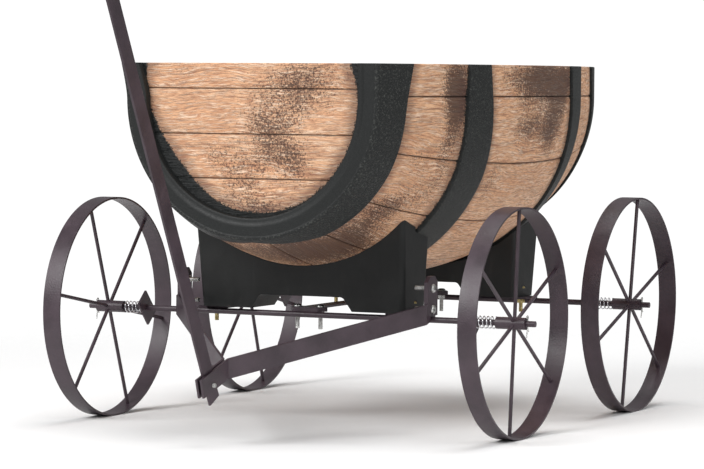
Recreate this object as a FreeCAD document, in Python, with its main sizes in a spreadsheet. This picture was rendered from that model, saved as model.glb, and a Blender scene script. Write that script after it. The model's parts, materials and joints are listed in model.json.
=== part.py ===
"""Garden planter wagon: a moulded half-barrel tub carried by two saddles on a four-wheeled steel wagon.

Millimetres, +Z up, the pulling handle at -Y. The origin is on the ground, midway between the four wheels.
"""
import FreeCAD
import Part

import math
import os

from FreeCAD import Placement, Rotation, Vector
from Sketcher import Constraint

SIZES = [
    # wheels
    ("wheel_radius", 152.5, "outside radius of the steel band"),
    ("band_width", 26, "width of the band"),
    ("band_thickness", 2.5, "thickness of the band"),
    ("spoke_diameter", 5, "round bar"),
    ("spoke_count", 6, "spokes in a wheel"),
    ("hub_diameter", 16, "outside of the hub tube"),
    ("hub_length", 42, "length of the hub tube"),
    ("hub_start", 283, "inner end of a hub, from the middle of the wagon"),
    ("running_clearance", 0.05, "radial play of a bore that turns on its pin"),
    ("track", 616, "between the middles of the left and right wheels"),
    ("wheelbase", 412, "between the front and rear axles"),
    # axles and what sits on them
    ("axle_diameter", 8, "round bar"),
    ("axle_length", 676, "whole length of an axle"),
    ("spring_seat_start", 246, "inner face of a spring seat"),
    ("spring_seat_width", 27, "plate width"),
    ("spring_seat_height", 40, "plate height"),
    ("spring_seat_turn", 42, "degrees that the plate is turned on the axle"),
    ("spring_diameter", 17, "outside of the coil"),
    ("spring_wire", 1.6, "wire of the coil"),
    ("spring_turns", 5.5, "turns of the coil"),
    ("cotter_gap", 0.5, "between a hub and its cotter pin"),
    ("cotter_diameter", 2.2, "both legs of a cotter pin together"),
    ("cotter_half_shank", 6, "straight part of a cotter pin, each way from the axle's middle"),
    ("cotter_eye_wire", 1.76, "wire round the eye of a cotter pin"),
    ("cotter_leg_diameter", 1.65, "one leg where the two are spread"),
    ("cotter_leg_overlap", 0.4, "a spread leg starts this far inside the straight part"),
    ("cotter_short_leg", 6, "length of the short leg"),
    ("cotter_short_spread", 38, "degrees that the short leg is bent from upright"),
    ("cotter_long_leg", 13, "length of the long leg"),
    ("cotter_long_spread", -12, "degrees that the long leg is bent from upright"),
    # flat bar stock and fasteners
    ("strip_width", 25, "flat bar"),
    ("strip_thickness", 3, "flat bar"),
    ("bolt_diameter", 6, "shank of every bolt"),
    ("bolt_length", 30, "shank under the head"),
    ("head_diameter", 12, "pan head"),
    ("head_height", 3.5, "pan head"),
    ("head_round", 0.7, "share of a head's height that its rounded edge takes"),
    ("nut_width", 10, "across the flats"),
    ("nut_height", 5, "hexagon nut"),
    ("washer_diameter", 13, "plain washer"),
    ("washer_thickness", 1.2, "plain washer"),
    # half barrel
    ("tub_length", 736, "between the end rings"),
    ("tub_top", 491, "height of the rim above the ground"),
    ("tub_axis", 444.5, "height of the barrel's axis above the ground"),
    ("belly_radius", 250, "staves at mid length"),
    ("end_radius", 180.5, "staves at the ends"),
    ("tub_wall", 4.5, "moulded wall"),
    ("hoop_raise", 4.5, "hoops stand this proud of the staves"),
    ("end_hoop_width", 52, "hoop at each end"),
    ("mid_hoop_inner", 138, "near edge of a middle hoop, from mid length"),
    ("mid_hoop_outer", 192, "far edge of a middle hoop, from mid length"),
    ("head_recess", 12, "depth of the planked head behind its ring"),
    ("head_radius", 156, "radius of the planked head"),
    # saddles
    ("saddle_base_half", 153, "half width at the feet"),
    ("saddle_top_half", 158, "half width at the top of the posts"),
    ("saddle_outboard", 12, "from the axle out to the saddle's face, at the feet"),
    ("saddle_inboard", 55, "from the axle in to the saddle's back, at the feet"),
    ("saddle_flare_out", 13, "the face leans out by this much at the top"),
    ("saddle_flare_in", 7, "the back leans in by this much at the top"),
    ("saddle_top", 288, "height of the posts before the cradle is cut"),
    ("saddle_corner", 7, "radius of the upright corners"),
    ("cradle_gap", 0.2, "between the cradle and the tub"),
    ("notch_base_half", 76, "half width of the notch between the feet"),
    ("notch_top_half", 63, "half width at the top of the notch"),
    ("notch_height", 19, "height of the notch"),
    ("saddle_bolt_across", 149, "saddle bolt, from the middle of the wagon"),
    ("saddle_bolt_inboard", 23, "saddle bolt, in from the axle"),
    ("saddle_bolt_embed", 12, "moulded-in length above the foot"),
    ("saddle_bolt_below", 19, "length below the tab"),
    ("saddle_tab_start", 120, "inner edge of a saddle tab"),
    ("saddle_tab_width", 45, "width of a saddle tab"),
    ("saddle_tab_depth", 40, "depth of a saddle tab"),
    # reach bar
    ("reach_bolt_across", 17.5, "reach bolt, from the middle of the wagon"),
    ("reach_bolt_inboard", 11, "reach bolt, in from the axle"),
    ("reach_plate_length", 56, "plate across each end of the reach bar"),
    ("reach_plate_point", 9, "each plate ends in a point this long"),
    # tongue
    ("lug_face", 187, "outer face of a tongue lug, from the middle of the wagon"),
    ("lug_height", 58, "top of a lug above the axle's middle"),
    ("lug_width", 30, "lug along the wagon"),
    ("lug_chamfer", 8, "cut corners of a lug"),
    ("lug_bolt_low", 14, "lower tongue bolt above the axle's middle"),
    ("lug_bolt_high", 42, "upper tongue bolt above the axle's middle"),
    ("tongue_bolt_length", 26, "shank of a tongue bolt"),
    ("pivot_ahead", 265, "handle pivot ahead of the front axle"),
    ("pivot_height", 78.5, "handle pivot above the ground"),
    ("tongue_bend_ahead", 41, "bend of an arm behind the handle pivot"),
    ("tongue_tip_ahead", 31, "end of an arm ahead of the handle pivot"),
    ("tongue_rear_top", 174, "upper edge of an arm at its lug"),
    ("tongue_drop", 0.308, "fall of an arm per unit of length along the wagon"),
    ("side_play", 0.3, "beside the handle, between the two arms"),
    # handle
    ("handle_length", 720, "pivot to the middle of the grip"),
    ("handle_tail", 23, "handle below its pivot"),
    ("handle_lean", 26.8, "degrees forward of upright"),
    ("grip_diameter", 20, "cross tube"),
    ("grip_wall", 2, "cross tube"),
    ("grip_length", 130, "cross tube"),
    ("pivot_head_diameter", 16, "truss head of the pivot bolt"),
    ("pivot_bolt_length", 23, "shank of the pivot bolt"),
]

doc = FreeCAD.newDocument("planter_wagon")
sheet = doc.addObject("Spreadsheet::Sheet", "sizes")
for row, (alias, value, note) in enumerate(SIZES, start=1):
    sheet.set(f"A{row}", alias)
    sheet.set(f"B{row}", str(value))
    sheet.set(f"C{row}", note)
    sheet.setAlias(f"B{row}", alias)
doc.recompute()

ALONG_X = Rotation(Vector(0, 1, 0), 90)
ALONG_MINUS_X = Rotation(Vector(0, 1, 0), -90)
UPRIGHT = Rotation()
DOWN = Rotation(Vector(1, 0, 0), 180)
AXLE_Z = "wheel_radius"
OVERSHOOT = 1  # a cutting tool runs this far past the face that it opens

nodes = []


def size(alias):
    return float(sheet.get(alias))


def cells(text):
    """An expression written with bare aliases, such as '-(track / 2)', as the sheet's own names."""
    words = []
    for word in text.replace("(", " ( ").replace(")", " ) ").split():
        known = any(word == alias for alias, _, _ in SIZES)
        words.append(f"sizes.{word}" if known else word)
    return " ".join(words)


def bind(thing, **expressions):
    for prop, text in expressions.items():
        thing.setExpression(prop, cells(text))
    return thing


def put(thing, x="0", y="0", z="0", turn=UPRIGHT):
    """Place an object; its position stays bound to the sheet."""
    thing.Placement = Placement(Vector(), turn)
    for axis, text in zip("xyz", (x, y, z)):
        thing.setExpression(f"Placement.Base.{axis}", cells(text))
    return thing


def rod(name, radius, length, x="0", y="0", z="0", turn=UPRIGHT):
    thing = doc.addObject("Part::Cylinder", name)
    bind(thing, Radius=radius, Height=length)
    return put(thing, x, y, z, turn)


def block(name, length, width, height, x="0", y="0", z="0"):
    thing = doc.addObject("Part::Box", name)
    bind(thing, Length=length, Width=width, Height=height)
    return put(thing, x, y, z)


def hexagon(name, x="0", y="0", z="0", turn=UPRIGHT):
    thing = doc.addObject("Part::Prism", name)
    thing.Polygon = 6
    bind(thing, Circumradius="nut_width / 3 ^ 0.5", Height="nut_height")
    return put(thing, x, y, z, turn)


def cut(name, base, *tools):
    """Base less every tool."""
    tool = tools[0] if len(tools) == 1 else fuse(f"{name}_tools", *tools)
    thing = doc.addObject("Part::Cut", name)
    thing.Base = base
    thing.Tool = tool
    return thing


def fuse(name, *things):
    thing = doc.addObject("Part::MultiFuse", name)
    thing.Shapes = list(things)
    return thing


def group(name, things):
    """Identical loose pieces that share one node."""
    thing = doc.addObject("Part::Compound", name)
    thing.Links = list(things)
    return thing


def solid(name, shape):
    thing = doc.addObject("Part::Feature", name)
    thing.Shape = shape
    return thing


def node(thing, label):
    thing.Label = label
    nodes.append(thing)
    return thing


def side_sign(side):
    return "-1 *" if side == "left" else ""


def end_sign(end):
    return "-1 *" if end == "front" else ""


# ---------------------------------------------------------------- wheels

SPOKE_TURN = {"front_left": 50, "front_right": 25, "rear_right": 20, "rear_left": 48}


def wheel(end, side):
    name = f"{end}_{side}"
    across, along = side_sign(side), end_sign(end)
    middle_x, axle_y = f"{across} track / 2", f"{along} wheelbase / 2"

    band_x = f"{across} track / 2 - band_width / 2"
    outside = rod(f"{name}_band_out", "wheel_radius", "band_width", band_x, axle_y, AXLE_Z, ALONG_X)
    inside = rod(f"{name}_band_in", "wheel_radius - band_thickness", "band_width",
                 band_x, axle_y, AXLE_Z, ALONG_X)
    node(cut(f"{name}_rim", outside, inside), f"{name}_rim")

    hub_x = "hub_start" if side == "right" else "-1 * ( hub_start + hub_length )"
    tube = rod(f"{name}_hub_out", "hub_diameter / 2", "hub_length", hub_x, axle_y, AXLE_Z, ALONG_X)
    bore = rod(f"{name}_hub_in", "axle_diameter / 2 + running_clearance", "hub_length",
               hub_x, axle_y, AXLE_Z, ALONG_X)
    node(cut(f"{name}_hub", tube, bore), f"{name}_hub")

    spokes = []
    count = int(size("spoke_count"))
    for k in range(count):
        angle = SPOKE_TURN[name] + 360 / count * k
        turn = Rotation(Vector(1, 0, 0), angle - 90)
        bar = rod(f"{name}_spoke_{k}", "spoke_diameter / 2", "wheel_radius", middle_x, axle_y, AXLE_Z, turn)
        spokes.append(bar)
    star = group(f"{name}_star", spokes)
    band_hole = rod(f"{name}_reach", "wheel_radius - band_thickness", "band_width",
                    band_x, axle_y, AXLE_Z, ALONG_X)
    trimmed = doc.addObject("Part::Common", f"{name}_trimmed")
    trimmed.Base = star
    trimmed.Tool = band_hole
    hub_space = rod(f"{name}_hub_space", "hub_diameter / 2", "hub_length", hub_x, axle_y, AXLE_Z, ALONG_X)
    node(cut(f"{name}_spokes", trimmed, hub_space), f"{name}_spokes")


# ---------------------------------------------------------------- axles

def axle(end):
    along = end_sign(end)
    axle_y = f"{along} wheelbase / 2"
    bar = rod(f"{end}_axle_bar", "axle_diameter / 2", "axle_length", "-1 * axle_length / 2",
              axle_y, AXLE_Z, ALONG_X)
    holes = []
    for side in ("left", "right"):
        across = side_sign(side)
        x = f"{across} ( hub_start + hub_length + cotter_gap + cotter_diameter / 2 )"
        holes.append(rod(f"{end}_{side}_cotter_hole", "cotter_diameter / 2 + running_clearance",
                         "2 * axle_diameter", x, axle_y, "wheel_radius - axle_diameter"))
    node(cut(f"{end}_axle", bar, *holes), f"{end}_axle")


def spring_seat(end, side):
    """A rectangular plate, turned on the axle, with the axle through its middle."""
    name = f"{end}_{side}_spring_seat"
    body = doc.addObject("PartDesign::Body", name)
    plane = next(f for f in body.Origin.OriginFeatures if f.Role == "YZ_Plane")
    sketch = body.newObject("Sketcher::SketchObject", f"{name}_outline")
    sketch.AttachmentSupport = [(plane, "")]
    sketch.MapMode = "FlatFace"
    half_w, half_h = size("spring_seat_width") / 2, size("spring_seat_height") / 2
    corners = [Vector(-half_w, -half_h, 0), Vector(half_w, -half_h, 0),
               Vector(half_w, half_h, 0), Vector(-half_w, half_h, 0)]
    for k, corner in enumerate(corners):
        sketch.addGeometry(Part.LineSegment(corner, corners[(k + 1) % 4]))
    for k in range(4):
        sketch.addConstraint(Constraint("Coincident", k, 2, (k + 1) % 4, 1))
    for k, kind in enumerate(("Horizontal", "Vertical", "Horizontal", "Vertical")):
        sketch.addConstraint(Constraint(kind, k))
    sketch.addConstraint(Constraint("Symmetric", 0, 1, 2, 1, -1, 1))
    width = sketch.addConstraint(Constraint("DistanceX", 0, 1, 0, 2, 2 * half_w))
    height = sketch.addConstraint(Constraint("DistanceY", 1, 1, 1, 2, 2 * half_h))
    hole = sketch.addGeometry(Part.Circle(Vector(), Vector(0, 0, 1), size("axle_diameter") / 2))
    sketch.addConstraint(Constraint("Coincident", hole, 3, -1, 1))
    across_hole = sketch.addConstraint(Constraint("Diameter", hole, size("axle_diameter")))
    sketch.setExpression(f"Constraints[{width}]", cells("spring_seat_width"))
    sketch.setExpression(f"Constraints[{height}]", cells("spring_seat_height"))
    sketch.setExpression(f"Constraints[{across_hole}]", cells("axle_diameter"))
    pad = body.newObject("PartDesign::Pad", f"{name}_pad")
    pad.Profile = sketch
    bind(pad, Length="strip_thickness")
    x = "spring_seat_start" if side == "right" else "-1 * ( spring_seat_start + strip_thickness )"
    turn = Rotation(Vector(1, 0, 0), size("spring_seat_turn"))
    put(body, x, f"{end_sign(end)} wheelbase / 2", AXLE_Z, turn)
    node(body, name)


def spring(end, side):
    """Coil between a spring seat and its hub."""
    wire = size("spring_wire")
    coil_radius = (size("spring_diameter") - wire) / 2
    start = size("spring_seat_start") + size("strip_thickness")
    free_gap = 2 * size("side_play")
    length = size("hub_start") - free_gap - start - wire
    path = Part.makeHelix(length / size("spring_turns"), length, coil_radius)
    section = Part.Wire(Part.Circle(Vector(coil_radius, 0, 0), Vector(0, 1, 0), wire / 2).toShape())
    coil = Part.Wire(path.Edges).makePipeShell([section], True, True)
    sign = -1 if side == "left" else 1
    along = -1 if end == "front" else 1
    thing = solid(f"{end}_{side}_spring", coil)
    first = start + size("side_play") / 2 + wire / 2
    place = Vector(sign * first, along * size("wheelbase") / 2, size("wheel_radius"))
    thing.Placement = Placement(place, ALONG_X if side == "right" else ALONG_MINUS_X)
    node(thing, f"{end}_{side}_spring")


def cotter(end, side):
    """Split pin through the axle outside a hub: an eye on top, and two legs spread below."""
    leg_r = size("cotter_diameter") / 2
    half_shank = size("cotter_half_shank")
    eye_radius = size("cotter_diameter")
    shape = Part.makeCylinder(leg_r, 2 * half_shank, Vector(0, 0, -half_shank))
    eye_middle = Vector(0, 0, half_shank + eye_radius)
    shape = shape.fuse(Part.makeTorus(eye_radius, size("cotter_eye_wire") / 2, eye_middle, Vector(1, 0, 0)))
    root = Vector(0, 0, size("cotter_leg_overlap") - half_shank)
    for leg in ("short", "long"):
        tip = Rotation(Vector(1, 0, 0), size(f"cotter_{leg}_spread")).multVec(Vector(0, 0, -1))
        spread = Part.makeCylinder(size("cotter_leg_diameter") / 2, size(f"cotter_{leg}_leg"), root, tip)
        shape = shape.fuse(spread)
    thing = solid(f"{end}_{side}_cotter_pin", shape.removeSplitter())
    sign = -1 if side == "left" else 1
    along = -1 if end == "front" else 1
    x = size("hub_start") + size("hub_length") + size("cotter_gap") + leg_r
    place = Vector(sign * x, along * size("wheelbase") / 2, size("wheel_radius"))
    thing.Placement = Placement(place, UPRIGHT)
    node(thing, f"{end}_{side}_cotter_pin")


# ---------------------------------------------------------------- fasteners

def bolt(name, length, head, x, y, z, turn, head_height="head_height"):
    """Pan-headed bolt: its head starts at the place and its shank runs the other way."""
    top = doc.addObject("Part::Cylinder", f"{name}_head")
    bind(top, Radius=f"{head} / 2", Height=head_height)
    round_edge = doc.addObject("Part::Fillet", f"{name}_round")
    round_edge.Base = top
    doc.recompute()
    rim_edges = [k for k, edge in enumerate(top.Shape.Edges, start=1)
                 if edge.Closed and edge.CenterOfMass.z > top.Height.Value / 2]
    radius = size("head_round") * top.Height.Value
    round_edge.Edges = [(k, radius, radius) for k in rim_edges]
    shank = doc.addObject("Part::Cylinder", f"{name}_shank")
    bind(shank, Radius="bolt_diameter / 2", Height=length)
    shank.setExpression("Placement.Base.z", cells(f"-1 * ( {length} )"))
    whole = fuse(name, round_edge, shank)
    return put(whole, x, y, z, turn)


def ring_piece(name, kind, x, y, z, turn):
    """A nut or a washer on a bolt; the place is its face nearest the bolt's head."""
    if kind == "nut":
        blank, height = hexagon(f"{name}_blank"), "nut_height"
    else:
        blank, height = rod(f"{name}_blank", "washer_diameter / 2", "washer_thickness"), "washer_thickness"
    hole = rod(f"{name}_hole", "bolt_diameter / 2", height)
    return put(cut(name, blank, hole), x, y, z, turn)


# ---------------------------------------------------------------- tub

def barrel_block(extra, front, back, top):
    """Solid barrel between two stations: round below the axis, straight up above it."""
    belly, end = size("belly_radius") + extra, size("end_radius") + extra
    half = size("tub_length") / 2
    arc_radius = (half ** 2 + (belly - end) ** 2) / (2 * (belly - end))

    def width(y):
        return belly - arc_radius + math.sqrt(arc_radius ** 2 - y ** 2)

    middle = (front + back) / 2
    corners = Vector(width(front), front, 0), Vector(width(back), back, 0)
    curve = Part.Arc(corners[0], Vector(width(middle), middle, 0), corners[1]).toShape()
    axis_front, axis_back = Vector(0, front, 0), Vector(0, back, 0)
    outline = Part.Wire([curve, Part.makeLine(corners[1], axis_back), Part.makeLine(axis_back, axis_front),
                         Part.makeLine(axis_front, corners[0])])
    half_plan = Part.Face(outline)
    lower = half_plan.revolve(Vector(), Vector(0, 1, 0), 180)
    right = half_plan.extrude(Vector(0, 0, top))
    left = right.mirror(Vector(), Vector(1, 0, 0))
    return lower.fuse([right, left]).removeSplitter()


def tub():
    half, top = size("tub_length") / 2, size("tub_top") - size("tub_axis")
    raise_by, wall, recess = size("hoop_raise"), size("tub_wall"), size("head_recess")
    shape = barrel_block(0, -half, half, top)
    inner, outer = size("mid_hoop_inner"), size("mid_hoop_outer")
    end_inner = half - size("end_hoop_width")
    for near, far in ((-half, -end_inner), (-outer, -inner), (inner, outer), (end_inner, half)):
        shape = shape.fuse(barrel_block(raise_by, near, far, top))
    hollow_end = half - recess - wall
    shape = shape.cut(barrel_block(-wall, -hollow_end, hollow_end, top + wall))
    head = size("head_radius")
    for start in (-half - OVERSHOOT, half - recess):
        disc = Part.makeCylinder(head, recess + OVERSHOOT, Vector(0, start, 0), Vector(0, 1, 0))
        upper = Part.makeBox(2 * head, recess + OVERSHOOT, top + OVERSHOOT, Vector(-head, start, 0))
        shape = shape.cut(disc.fuse(upper))
    thing = solid("barrel_tub", shape.removeSplitter())
    thing.Placement = Placement(Vector(0, 0, size("tub_axis")), UPRIGHT)
    node(thing, "barrel_tub")


# ---------------------------------------------------------------- saddles

def outline_face(points):
    return Part.Face(Part.makePolygon(list(points) + [points[0]]))


def saddle(end):
    """Moulded support: two feet, a notch between them, and a cradle that fits under the tub."""
    along = -1 if end == "front" else 1
    axle_y = along * size("wheelbase") / 2
    base = size("wheel_radius") + size("axle_diameter") / 2 + size("strip_thickness")
    top = size("saddle_top")

    def level(half, outboard, inboard, z):
        face_y, back_y = axle_y + along * outboard, axle_y - along * inboard
        low, high = min(face_y, back_y), max(face_y, back_y)
        points = [Vector(-half, low, z), Vector(half, low, z), Vector(half, high, z), Vector(-half, high, z)]
        return Part.makePolygon(points + [points[0]])

    feet = level(size("saddle_base_half"), size("saddle_outboard"), size("saddle_inboard"), base)
    posts = level(size("saddle_top_half"), size("saddle_outboard") + size("saddle_flare_out"),
                  size("saddle_inboard") + size("saddle_flare_in"), top)
    shape = Part.makeLoft([feet, posts], True, True)
    upright = [e for e in shape.Edges if abs(e.Vertexes[0].Z - e.Vertexes[-1].Z) > (top - base) / 2]
    shape = shape.makeFillet(size("saddle_corner"), upright)

    wide, narrow, rise = size("notch_base_half"), size("notch_top_half"), size("notch_height")
    depth = 2 * size("wheelbase")
    notch = outline_face([Vector(-wide, -depth / 2, base), Vector(-narrow, -depth / 2, base + rise),
                          Vector(narrow, -depth / 2, base + rise), Vector(wide, -depth / 2, base)])
    notch = notch.extrude(Vector(0, depth, 0))
    long_edges = [e for e in notch.Edges if e.Length > 2 * wide]
    notch_corners = [e for e in long_edges
                     if e.CenterOfMass.z > base + rise / 2 and abs(e.CenterOfMass.x) > narrow / 2]
    shape = shape.cut(notch.makeFillet(size("saddle_corner"), notch_corners))

    half, height = size("tub_length") / 2, size("tub_top") - size("tub_axis")
    gap = size("cradle_gap")
    bed = barrel_block(gap, -half, half, height)
    for near, far in ((-size("mid_hoop_outer") - gap, -size("mid_hoop_inner") + gap),
                      (size("mid_hoop_inner") - gap, size("mid_hoop_outer") + gap)):
        bed = bed.fuse(barrel_block(gap + size("hoop_raise"), near, far, height))
    bed.translate(Vector(0, 0, size("tub_axis")))
    shape = shape.cut(bed)

    embed, bolt_r = size("saddle_bolt_embed"), size("bolt_diameter") / 2
    bolt_y = axle_y - along * size("saddle_bolt_inboard")
    for sign in (-1, 1):
        x = sign * size("saddle_bolt_across")
        foot = Vector(x, bolt_y, base)
        head_height = size("head_height")
        shape = shape.cut(Part.makeCylinder(bolt_r, embed, foot))
        pocket = Part.makeCylinder(size("head_diameter") / 2, head_height, foot + Vector(0, 0, embed))
        shape = shape.cut(pocket)
    node(solid(f"{end}_saddle", shape), f"{end}_saddle")


def saddle_fixings():
    """Tabs welded on top of each axle, with the four moulded-in saddle bolts through them."""
    bolts, nuts, washers = [], [], []
    foot = "wheel_radius + axle_diameter / 2 + strip_thickness"
    tab_bottom = "wheel_radius + axle_diameter / 2"
    for end in ("front", "rear"):
        along = end_sign(end)
        tabs = []
        bolt_y = f"{along} ( wheelbase / 2 - saddle_bolt_inboard )"
        tab_y = "-1 * wheelbase / 2" if end == "front" else "wheelbase / 2 - saddle_tab_depth"
        for side in ("left", "right"):
            name = f"{end}_{side}_saddle"
            x = f"{side_sign(side)} saddle_bolt_across"
            tab_x = "saddle_tab_start" if side == "right" else "-1 * ( saddle_tab_start + saddle_tab_width )"
            plate = block(f"{name}_tab_blank", "saddle_tab_width", "saddle_tab_depth", "strip_thickness",
                          tab_x, tab_y, tab_bottom)
            hole = rod(f"{name}_tab_hole", "bolt_diameter / 2", "strip_thickness", x, bolt_y, tab_bottom)
            tabs.append(cut(f"{name}_tab", plate, hole))
            bolts.append(bolt(f"{name}_bolt", "saddle_bolt_embed + strip_thickness + saddle_bolt_below",
                              "head_diameter", x, bolt_y, f"{foot} + saddle_bolt_embed", UPRIGHT))
            washers.append(ring_piece(f"{name}_washer", "washer", x, bolt_y, tab_bottom, DOWN))
            nuts.append(ring_piece(f"{name}_nut", "nut", x, bolt_y, f"{tab_bottom} - washer_thickness", DOWN))
        node(group(f"{end}_saddle_tabs", tabs), f"{end}_saddle_tabs")
    node(group("saddle_bolts", bolts), "saddle_bolts")
    node(group("saddle_washers", washers), "saddle_washers")
    node(group("saddle_nuts", nuts), "saddle_nuts")


# ---------------------------------------------------------------- reach bar

def pointed_plate(name, end, half, z):
    """A plate across the wagon at an axle's middle, with both ends brought to a point."""
    along = -1 if end == "front" else 1
    width, point = size("strip_width"), size("reach_plate_point")
    outer = along * (size("wheelbase") / 2 + width / 2 - size("reach_bolt_inboard"))
    inner = outer - along * width
    middle = (outer + inner) / 2
    points = [Vector(-half, middle, z), Vector(-half + point, outer, z), Vector(half - point, outer, z),
              Vector(half, middle, z), Vector(half - point, inner, z), Vector(-half + point, inner, z)]
    plate = outline_face(points).extrude(Vector(0, 0, size("strip_thickness")))
    for sign in (-1, 1):
        centre = Vector(sign * size("reach_bolt_across"), middle, z)
        plate = plate.cut(Part.makeCylinder(size("bolt_diameter") / 2, size("strip_thickness"), centre))
    return node(solid(name, plate), name)


def reach():
    """Flat bar that ties the two axles together, bolted through a plate at each end."""
    lower = "wheel_radius + axle_diameter / 2"
    bolts, nuts = [], []
    for end in ("front", "rear"):
        tab_z = size("wheel_radius") + size("axle_diameter") / 2
        half = size("reach_plate_length") / 2
        pointed_plate(f"{end}_reach_tab", end, half, tab_z)
        pointed_plate(f"{end}_reach_plate", end, half, tab_z + size("strip_thickness"))
        bolt_y = f"{end_sign(end)} ( wheelbase / 2 - reach_bolt_inboard )"
        for side in ("left", "right"):
            name = f"{end}_{side}_reach"
            x = f"{side_sign(side)} reach_bolt_across"
            bolts.append(bolt(f"{name}_bolt", "bolt_length", "head_diameter", x, bolt_y,
                              f"{lower} + 2 * strip_thickness", UPRIGHT))
            nuts.append(ring_piece(f"{name}_nut", "nut", x, bolt_y, lower, DOWN))
    span = "( wheelbase - 2 * reach_bolt_inboard - strip_width )"
    bar = block("reach_bar", "strip_width", span, "strip_thickness", "-1 * strip_width / 2",
                f"-1 * {span} / 2", f"{lower} + strip_thickness")
    node(bar, "reach_bar")
    node(group("reach_bolts", bolts), "reach_bolts")
    node(group("reach_nuts", nuts), "reach_nuts")


# ---------------------------------------------------------------- tongue

def strip_along(path, thickness, height):
    """A flat bar on edge that follows a plan path, with mitred bends."""
    def offset(distance):
        points = []
        for k, point in enumerate(path):
            before = path[k] - path[k - 1] if k > 0 else path[1] - path[0]
            after = path[k + 1] - path[k] if k < len(path) - 1 else before
            before, after = Vector(before).normalize(), Vector(after).normalize()
            bisector = (before + after).normalize()
            normal = Vector(-bisector.y, bisector.x, 0)
            stretch = 1 / (normal.x * -before.y + normal.y * before.x)
            points.append(point + normal * (distance * stretch))
        return points
    outline = offset(thickness / 2) + offset(-thickness / 2)[::-1]
    return outline_face(outline).extrude(Vector(0, 0, height))


def lug_profile(low):
    """Side view of a lug or of an arm's upright end, as (y, z) pairs from the axle's top."""
    axle_y, axle_z = -size("wheelbase") / 2, size("wheel_radius")
    half, top, chamfer = size("lug_width") / 2, axle_z + size("lug_height"), size("lug_chamfer")
    return [(axle_y + half, low), (axle_y + half, top - chamfer), (axle_y + half - chamfer, top),
            (axle_y - half + chamfer, top), (axle_y - half, top - chamfer), (axle_y - half, low)]


def bolt_holes(shape):
    for rise in (size("lug_bolt_low"), size("lug_bolt_high")):
        centre = Vector(0, -size("wheelbase") / 2, size("wheel_radius") + rise)
        drill = Part.makeCylinder(size("bolt_diameter") / 2, 2 * size("lug_face"), centre, Vector(1, 0, 0))
        shape = shape.cut(drill)
    return shape


def tongue(side):
    sign = -1 if side == "left" else 1
    thick = size("strip_thickness")
    axle_y, axle_z = -size("wheelbase") / 2, size("wheel_radius")
    face = size("lug_face")

    lug_outline = [Vector(face - thick, y, z) for y, z in lug_profile(axle_z)]
    lug = outline_face(lug_outline).extrude(Vector(thick, 0, 0))
    axle_middle = Vector(0, axle_y, axle_z)
    rod_space = Part.makeCylinder(size("axle_diameter") / 2, 2 * face, axle_middle, Vector(1, 0, 0))
    lug = bolt_holes(lug.cut(rod_space))

    pivot_y = axle_y - size("pivot_ahead")
    bend_y = pivot_y + size("tongue_bend_ahead")
    tip_y = pivot_y - size("tongue_tip_ahead")
    rear_y = axle_y + size("lug_width") / 2
    knee_y = axle_y - size("lug_width") / 2 - thick
    outer_x = face + thick / 2
    inner_x = thick / 2 + size("side_play") + thick / 2
    path = [Vector(outer_x, rear_y, 0), Vector(outer_x, knee_y, 0),
            Vector(inner_x, bend_y, 0), Vector(inner_x, tip_y - thick, 0)]
    curtain = strip_along(path, thick, size("saddle_top"))

    drop, width = size("tongue_drop"), size("strip_width")
    slope = math.atan(drop)
    front_y = axle_y - size("lug_width") / 2
    above_rod = axle_z + size("axle_diameter") / 2 + thick / 2
    rear_top = size("tongue_rear_top")
    tip_top = rear_top + drop * (tip_y - front_y)
    upright = lug_profile(above_rod)
    lower_rear_y = axle_y - size("axle_diameter") / 2 - thick / 2
    strip = [(front_y, rear_top), (tip_y, tip_top),
             (tip_y + width * math.sin(slope), tip_top - width * math.cos(slope)),
             (lower_rear_y, rear_top - width / math.cos(slope) + drop * (lower_rear_y - front_y)),
             (lower_rear_y, above_rod)]
    profile = upright[:-1] + strip
    side_view = outline_face([Vector(0, y, z) for y, z in profile]).extrude(Vector(2 * face, 0, 0))
    arm = bolt_holes(curtain.common(side_view))
    pivot = Vector(0, pivot_y, size("pivot_height"))
    arm = arm.cut(Part.makeCylinder(size("bolt_diameter") / 2, face, pivot, Vector(1, 0, 0)))
    for label, shape in ((f"{side}_tongue_lug", lug), (f"{side}_tongue_arm", arm)):
        if sign < 0:
            shape = shape.mirror(Vector(), Vector(1, 0, 0))
        node(solid(label, shape), label)


def tongue_fixings():
    bolts, nuts = [], []
    for side in ("left", "right"):
        out = ALONG_X if side == "right" else ALONG_MINUS_X
        back = ALONG_MINUS_X if side == "right" else ALONG_X
        sign = side_sign(side)
        for level in ("low", "high"):
            name = f"{side}_{level}_tongue"
            z = f"wheel_radius + lug_bolt_{level}"
            y = "-1 * wheelbase / 2"
            bolts.append(bolt(f"{name}_bolt", "tongue_bolt_length", "head_diameter",
                              f"{sign} ( lug_face + strip_thickness )", y, z, out))
            inside = f"{sign} ( lug_face - strip_thickness )"
            nuts.append(ring_piece(f"{name}_nut", "nut", inside, y, z, back))
    node(group("tongue_bolts", bolts), "tongue_bolts")
    node(group("tongue_nuts", nuts), "tongue_nuts")


# ---------------------------------------------------------------- handle

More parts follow.
